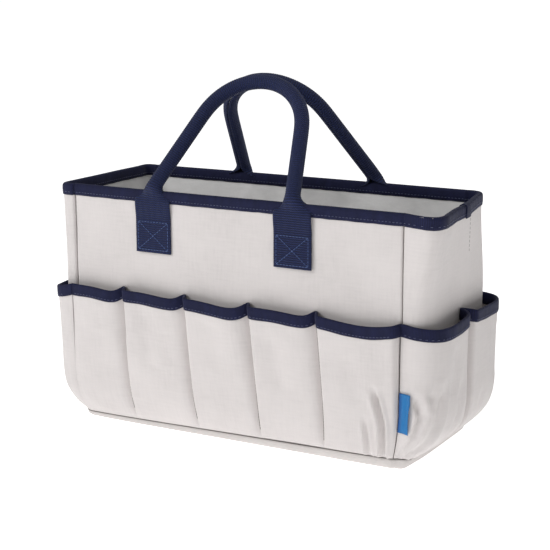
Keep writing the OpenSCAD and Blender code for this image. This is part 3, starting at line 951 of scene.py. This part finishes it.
def make_rim():
    """The binding round the rim, the lap where its ends meet, and its stitches."""
    u = stations(0, 8, 3 * MM, SEAMS, 1.0 * MM)[:-1][:, None]
    outer, inner = GAP + TAPE_T, -(WALL_T + GAP + TAPE_T)
    middle = (outer + inner) / 2
    profile = [(TAPE_H, outer), (TAPE_H * 0.75, outer + 0.1 * MM), (TAPE_H * 0.5, outer + 0.3 * MM),
               (TAPE_H * 0.25, outer + 0.2 * MM), (1.6 * MM, outer + 0.05 * MM),
               (0.4 * MM, outer - 0.5 * MM), (-0.5 * MM, outer - 1.6 * MM), (-0.95 * MM, middle),
               (-0.5 * MM, inner + 1.6 * MM), (0.4 * MM, inner + 0.5 * MM), (1.6 * MM, inner),
               (TAPE_H * 0.5, inner - 0.2 * MM), (TAPE_H, inner),
               (TAPE_H, -(WALL_T + GAP)), (TAPE_H * 0.5, -(WALL_T + GAP)), (-0.1 * MM, -(WALL_T + GAP)),
               (-0.1 * MM, GAP), (TAPE_H * 0.5, GAP), (TAPE_H, GAP)]
    drop, away = np.array(profile).T
    s = arc_at(u)
    turn = s * 2 * np.pi / ARC[-1]
    wobble = RIM_WOBBLE * (np.sin(turn * 37) + 0.6 * np.sin(turn * 83))
    z = WALL_H - drop + wobble * (drop > TAPE_H * 0.9)
    rings = shell(u, z, -away, RIM_GROOVE)
    cloth = cloth_grid(s, drop)
    tape_piece = sweep("rim_tape", rings, cloth, closed=True)
    finish_piece(tape_piece, TAPE, "binding_tape", "rim_binding")

    s = np.arange(0, ARC[-1] - 2 * MM, 3.6 * MM)
    for face, off in (("outer", outer + 0.25 * MM), ("inner", inner - 0.1 * MM)):
        place = lambda ss: shell(station_at(np.mod(ss, ARC[-1])), WALL_H - TAPE_H * 0.72, -off,
                                 RIM_GROOVE)
        normal = flat_normal_at(station_at(s)) * (1 if face == "outer" else -1)
        along = place(s + 0.5 * MM) - place(s - 0.5 * MM)
        row = stitches(f"rim_{face}_stitches", place(s), along, normal)
        finish_piece(row, NAVY_THREAD, "thread")

    lap = station_at(arc_at(TAPE_LAP) + np.linspace(0, 16 * MM, 12))[:, None]
    drop, away = np.array([(TAPE_H + 0.8 * MM, outer + 1.15 * MM), (TAPE_H * 0.5, outer + 1.3 * MM),
                           (1.0 * MM, outer + 1.0 * MM), (-0.7 * MM, outer), (-1.8 * MM, middle),
                           (-0.7 * MM, inner), (1.0 * MM, inner - 1.0 * MM),
                           (TAPE_H, inner - 1.0 * MM), (TAPE_H, inner - 0.25 * MM),
                           (1.0 * MM, inner - 0.15 * MM), (-0.2 * MM, inner + 0.6 * MM),
                           (-1.1 * MM, middle),
                           (-0.2 * MM, outer - 0.5 * MM), (1.0 * MM, outer + 0.2 * MM),
                           (TAPE_H * 0.5, outer + 0.45 * MM), (TAPE_H + 0.8 * MM, outer + 0.3 * MM)]).T
    z = WALL_H - np.broadcast_to(drop, (len(lap), len(drop)))
    rings = shell(lap, z, -away, RIM_GROOVE)
    cloth = cloth_grid(arc_at(lap), WALL_H - z)
    finish_piece(sweep("rim_tape_lap", rings, cloth), TAPE, "binding_tape")


def make_bottom_seam():
    """The fine dark line all round, where the walls meet the base: a dark cord that paints the shade in the
    seam.
    """
    u = stations(0, 8, 4 * MM)[:-1]
    cos, sin = circle(8)
    radius = 0.36 * MM
    z = seam_z(u)[:, None] + 0.2 * MM
    rings = wall_point(u[:, None], z + radius * sin, radius * cos)
    cord = sweep("bottom_seam_shade", rings, rings, closed=True)
    finish_piece(cord, SEAM_SHADE_CORD, "thread")


def make_seam_cords():
    """A thin dark cord in each upright seam. It stands in for the shadow in the seam: the bag has
    no cord there."""
    cos, sin = circle(8)
    radius = 0.55 * MM
    for seam, name in ((1, "front_right"), (4, "back_right"), (5, "back_left")):
        for part, top, off in (("wall", WALL_H - TAPE_H * 0.6, -1.9),
                               ("pocket", BAND_TOP - 2 * MM, 1.1)):
            z = np.linspace(float(seam_z(seam)) + MM, top, 60)[:, None]
            s = arc_at(seam) + radius * cos[None, :]
            rings = wall_point(station_at(np.mod(s, ARC[-1])), z,
                               relief(seam, z) + off * MM + radius * sin[None, :])
            cord = sweep(f"{name}_{part}_seam", rings, rings)
            finish_piece(cord, SEAM_SHADE_CORD, "thread")


def make_end_crease():
    """The short stitched line down the middle of the right end."""
    z = np.arange(CREASE_BOTTOM, WALL_H - TAPE_H - 2 * MM, 4.2 * MM)
    u = np.full(z.shape, CREASE)
    here, there = shell(u, z, -0.05 * MM), shell(u, z + MM, -0.05 * MM)
    row = stitches("right_end_crease", here, there - here, flat_normal_at(u), 2.6 * MM, 0.22 * MM)
    finish_piece(row, STITCH_SHADE_THREAD, "thread")


# -------- handles

ARCH_H, ARCH_R, LEAN = 125 * MM, 58 * MM, math.radians(35)
FOOT_GAP = 155 * MM
GRIP_D = 14.4 * MM
CROWN_Z = WALL_H + 3 * MM
LEG_Y = RIM_W / 2 + TAPE_T + 0.4 * MM + WEBBING_T / 2
TAB_Y = RIM_W / 2 + 0.1 * MM + WEBBING_T / 2
TUBE_R = (GRIP_D - WEBBING_T) / 2
SKEWS = {FRONT_HANDLE: 7 * MM, BACK_HANDLE: -11 * MM}
RIB = 2.2 * MM
ROLL_START, ROLL_L = 16.8 * MM, 22 * MM  # where each strap starts to roll up, above the hinge
ALL_ROUND = 0.985  # share of a full turn that the strap's edges close up to
STITCH_INSET = 3 * MM


def arch_outline(skew):
    """The grip's middle line in its own sloping plane, from the left foot over to the right one."""
    rise = ARCH_H - ARCH_R
    left_tilt, right_tilt = (math.atan2(reach, rise) - math.asin(ARCH_R / math.hypot(reach, rise))
                             for reach in (FOOT_GAP / 2 + skew, FOOT_GAP / 2 - skew))
    angles = np.linspace(math.pi - left_tilt, right_tilt, 80)
    arc = [skew, rise] + ARCH_R * np.stack([np.cos(angles), np.sin(angles)], -1)
    left = np.linspace([-FOOT_GAP / 2, 0], arc[0], 40)[:-1]
    right = np.linspace(arc[-1], [FOOT_GAP / 2, 0], 40)[1:]
    return np.concatenate([left, arc, right])


def strap_frame(foot_x, skew, bottom):
    """The strap's middle line, its outward direction and how far it is rolled up, along it.
    It is worked out for the front handle; the back one is its mirror image in Y."""
    flat = arch_outline(skew)
    arch = np.stack([foot_x + flat[:, 0], -LEG_Y + flat[:, 1] * math.sin(LEAN),
                     CROWN_Z + flat[:, 1] * math.cos(LEAN)], -1)
    feet = []
    for side in (-1, 1):
        x = foot_x + side * FOOT_GAP / 2
        z = np.linspace(bottom, CROWN_Z - 2 * MM, 60)
        y = -TAB_Y - (LEG_Y - TAB_Y + 0.6 * MM) * smoothstep((z - HINGE_Z - 1.3 * MM) / (12 * MM))
        feet.append(np.stack([np.full(z.shape, x), y, z], -1))
    line = np.concatenate([feet[0], arch[1:-1], feet[1][::-1]])
    s = distances(line)
    step = 0.5 * MM
    at = np.linspace(0, s[-1], int(s[-1] / step) + 1)
    line = np.stack([np.interp(at, s, c) for c in line.T], -1)
    soft = np.stack([soften(c, step, 6 * MM) for c in line.T], -1)
    near_end = np.minimum(at, at[-1] - at)
    keep = smoothstep((near_end - (HINGE_Z - 4.2 * MM - bottom)) / (12 * MM))[:, None]
    line = line * (1 - keep) + soft * keep

    lean = smoothstep((near_end - (WALL_H - 8 * MM - bottom)) / (26 * MM))
    outward = np.stack([0 * at, -np.cos(lean * LEAN), np.sin(lean * LEAN)], -1)
    tangent = unit(np.gradient(line, axis=0))
    outward = unit(outward - tangent * (outward * tangent).sum(1, keepdims=True))
    rolled = smoothstep((near_end - (HINGE_Z + ROLL_START - bottom)) / ROLL_L)
    return at, line, tangent, outward, rolled


def make_handle(body, side_name, mirror):
    """One strap from its tabs up into the rolled grip, with its cord core and the tabs' stitches."""
    left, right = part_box(f"{side_name}_left_tab"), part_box(f"{side_name}_right_tab")
    foot_x = (left[0].x + right[1].x) / 2
    bottom = left[0].z
    at, line, tangent, outward, rolled = strap_frame(foot_x, SKEWS[body], bottom)
    across = np.cross(tangent, outward)
    w = np.linspace(-WEBBING_W / 2, WEBBING_W / 2, 29)
    turn = np.maximum(rolled * 2 * np.pi * ALL_ROUND, 1e-3)
    radius = WEBBING_W / turn
    middle = line + outward * (TUBE_R * smoothstep(rolled * 1.15))[:, None]
    angle = w[None, :] / radius[:, None]
    face = (middle[:, None] + across[:, None] * (radius[:, None] * np.sin(angle))[..., None]
            - outward[:, None] * (radius[:, None] * (1 - np.cos(angle)))[..., None])
    normal = outward[:, None] * np.cos(angle)[..., None] + across[:, None] * np.sin(angle)[..., None]
    rib = 0.13 * MM * np.sin(2 * np.pi * at / RIB)[:, None, None]
    edge = (0.25 * MM * (np.abs(w) > WEBBING_W / 2 - 1 * MM))[None, :, None]
    outer = face + normal * (WEBBING_T / 2 - edge + rib)
    inner = face - normal * (WEBBING_T / 2 - edge)
    cloth = cloth_grid(w[None, :], at[:, None])
    flip = np.array([1, -1 if mirror else 1, 1])
    strap = slab(f"{side_name}_handle_strap", outer * flip, inner * flip, cloth)
    y = -TAB_Y * flip[1]
    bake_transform(strap, BAG, body, start=(foot_x, y, HINGE_Z - 2.7 * MM),
             end=(foot_x, y, HINGE_Z + 5.3 * MM))
    finish_piece(strap, WEBBING, "webbing", f"{side_name}_left_tab", f"{side_name}_right_tab",
                 f"{side_name}_handle_webbing", body=body)

    inside = np.flatnonzero(rolled > ALL_ROUND)[::6]
    radius = TUBE_R - WEBBING_T / 2 - 0.4 * MM
    cos, sin = circle(20)
    rings = line[inside, None] + radius * (cos[:, None] * outward[inside, None]
                                           + sin[:, None] * across[inside, None])
    core = sweep(f"{side_name}_handle_cord_core", rings * flip, rings)
    finish_piece(core, FOAM, "foam", f"{side_name}_handle_core", body=body)

    points, along = [], []
    for side in (-1, 1):
        x, lowest = foot_x + side * FOOT_GAP / 2, bottom + STITCH_INSET
        top, half = HINGE_Z - 3.4 * MM, WEBBING_W / 2 - STITCH_INSET
        corners = [(x - half, lowest), (x + half, lowest), (x + half, top), (x - half, top)]
        cross = [(corners[0], corners[2]), (corners[1], corners[3])]
        for (x0, z0), (x1, z1) in list(zip(corners, corners[1:] + corners[:1])) + cross:
            count = int(math.hypot(x1 - x0, z1 - z0) / (3.3 * MM))
            for t in (np.arange(count) + 0.5) / count:
                points.append([x0 + (x1 - x0) * t, -TAB_Y - WEBBING_T / 2 - 0.28 * MM,
                               z0 + (z1 - z0) * t])
                along.append([x1 - x0, 0, z1 - z0])
    points, along = np.array(points) * flip, np.array(along, float)
    normals = np.tile([0.0, -1.0, 0.0], (len(points), 1)) * flip
    box = stitches(f"{side_name}_tab_stitches", points, along, normals, 2.5 * MM, 0.32 * MM)
    finish_piece(box, BLUE_THREAD, "thread", f"{side_name}_tab_stitching")


# -------- tag

def make_tag():
    """A ribbon folded double, sewn into the front right seam and lying back over the end pocket."""
    low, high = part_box("side_tag")
    width, tall = 10 * MM, high.z - low.z
    fold, ply, rows = 0.35 * MM, 0.26 * MM, 14
    pocket = BANDS[1]
    z = np.linspace(low.z, high.z, 24)[None, :]
    reach = np.concatenate([np.linspace(0, width, rows), np.linspace(width, 0, rows)])[:, None]
    side = np.repeat([1.0, -1.0], rows)[:, None]
    round_off = np.sqrt(np.clip(1 - ((reach - width + 2 * fold) / (2 * fold)).clip(0) ** 2, 0.02, 1))
    u = station_at(arc_at(pocket.u0) + 0.8 * MM + reach + 0 * z)
    curl = 0.9 * MM * np.sin(np.pi * 1.1 * (z - low.z) / tall)
    lift = 1.3 * MM + side * fold * round_off + (1.4 * MM + curl) * (reach / width) ** 2
    grid = pocket.surface(u, z + 0 * u, lift + 0 * z)
    inner = grid - normals_of(grid) * ply
    cloth = cloth_grid(reach, z - low.z)
    piece = slab("seam_tag", grid, inner, cloth)
    finish_piece(piece, RIBBON, "tag_ribbon", "side_tag", body=TAG)


for panel_name, (first, last) in PANELS.items():
    make_panel(panel_name, first, last)
    make_lining(panel_name, first, last)
make_base()
for band in BANDS:
    band.make()
make_rim()
make_bottom_seam()
make_end_crease()
make_seam_cords()
make_handle(FRONT_HANDLE, "front", mirror=False)
make_handle(BACK_HANDLE, "back", mirror=True)
make_tag()
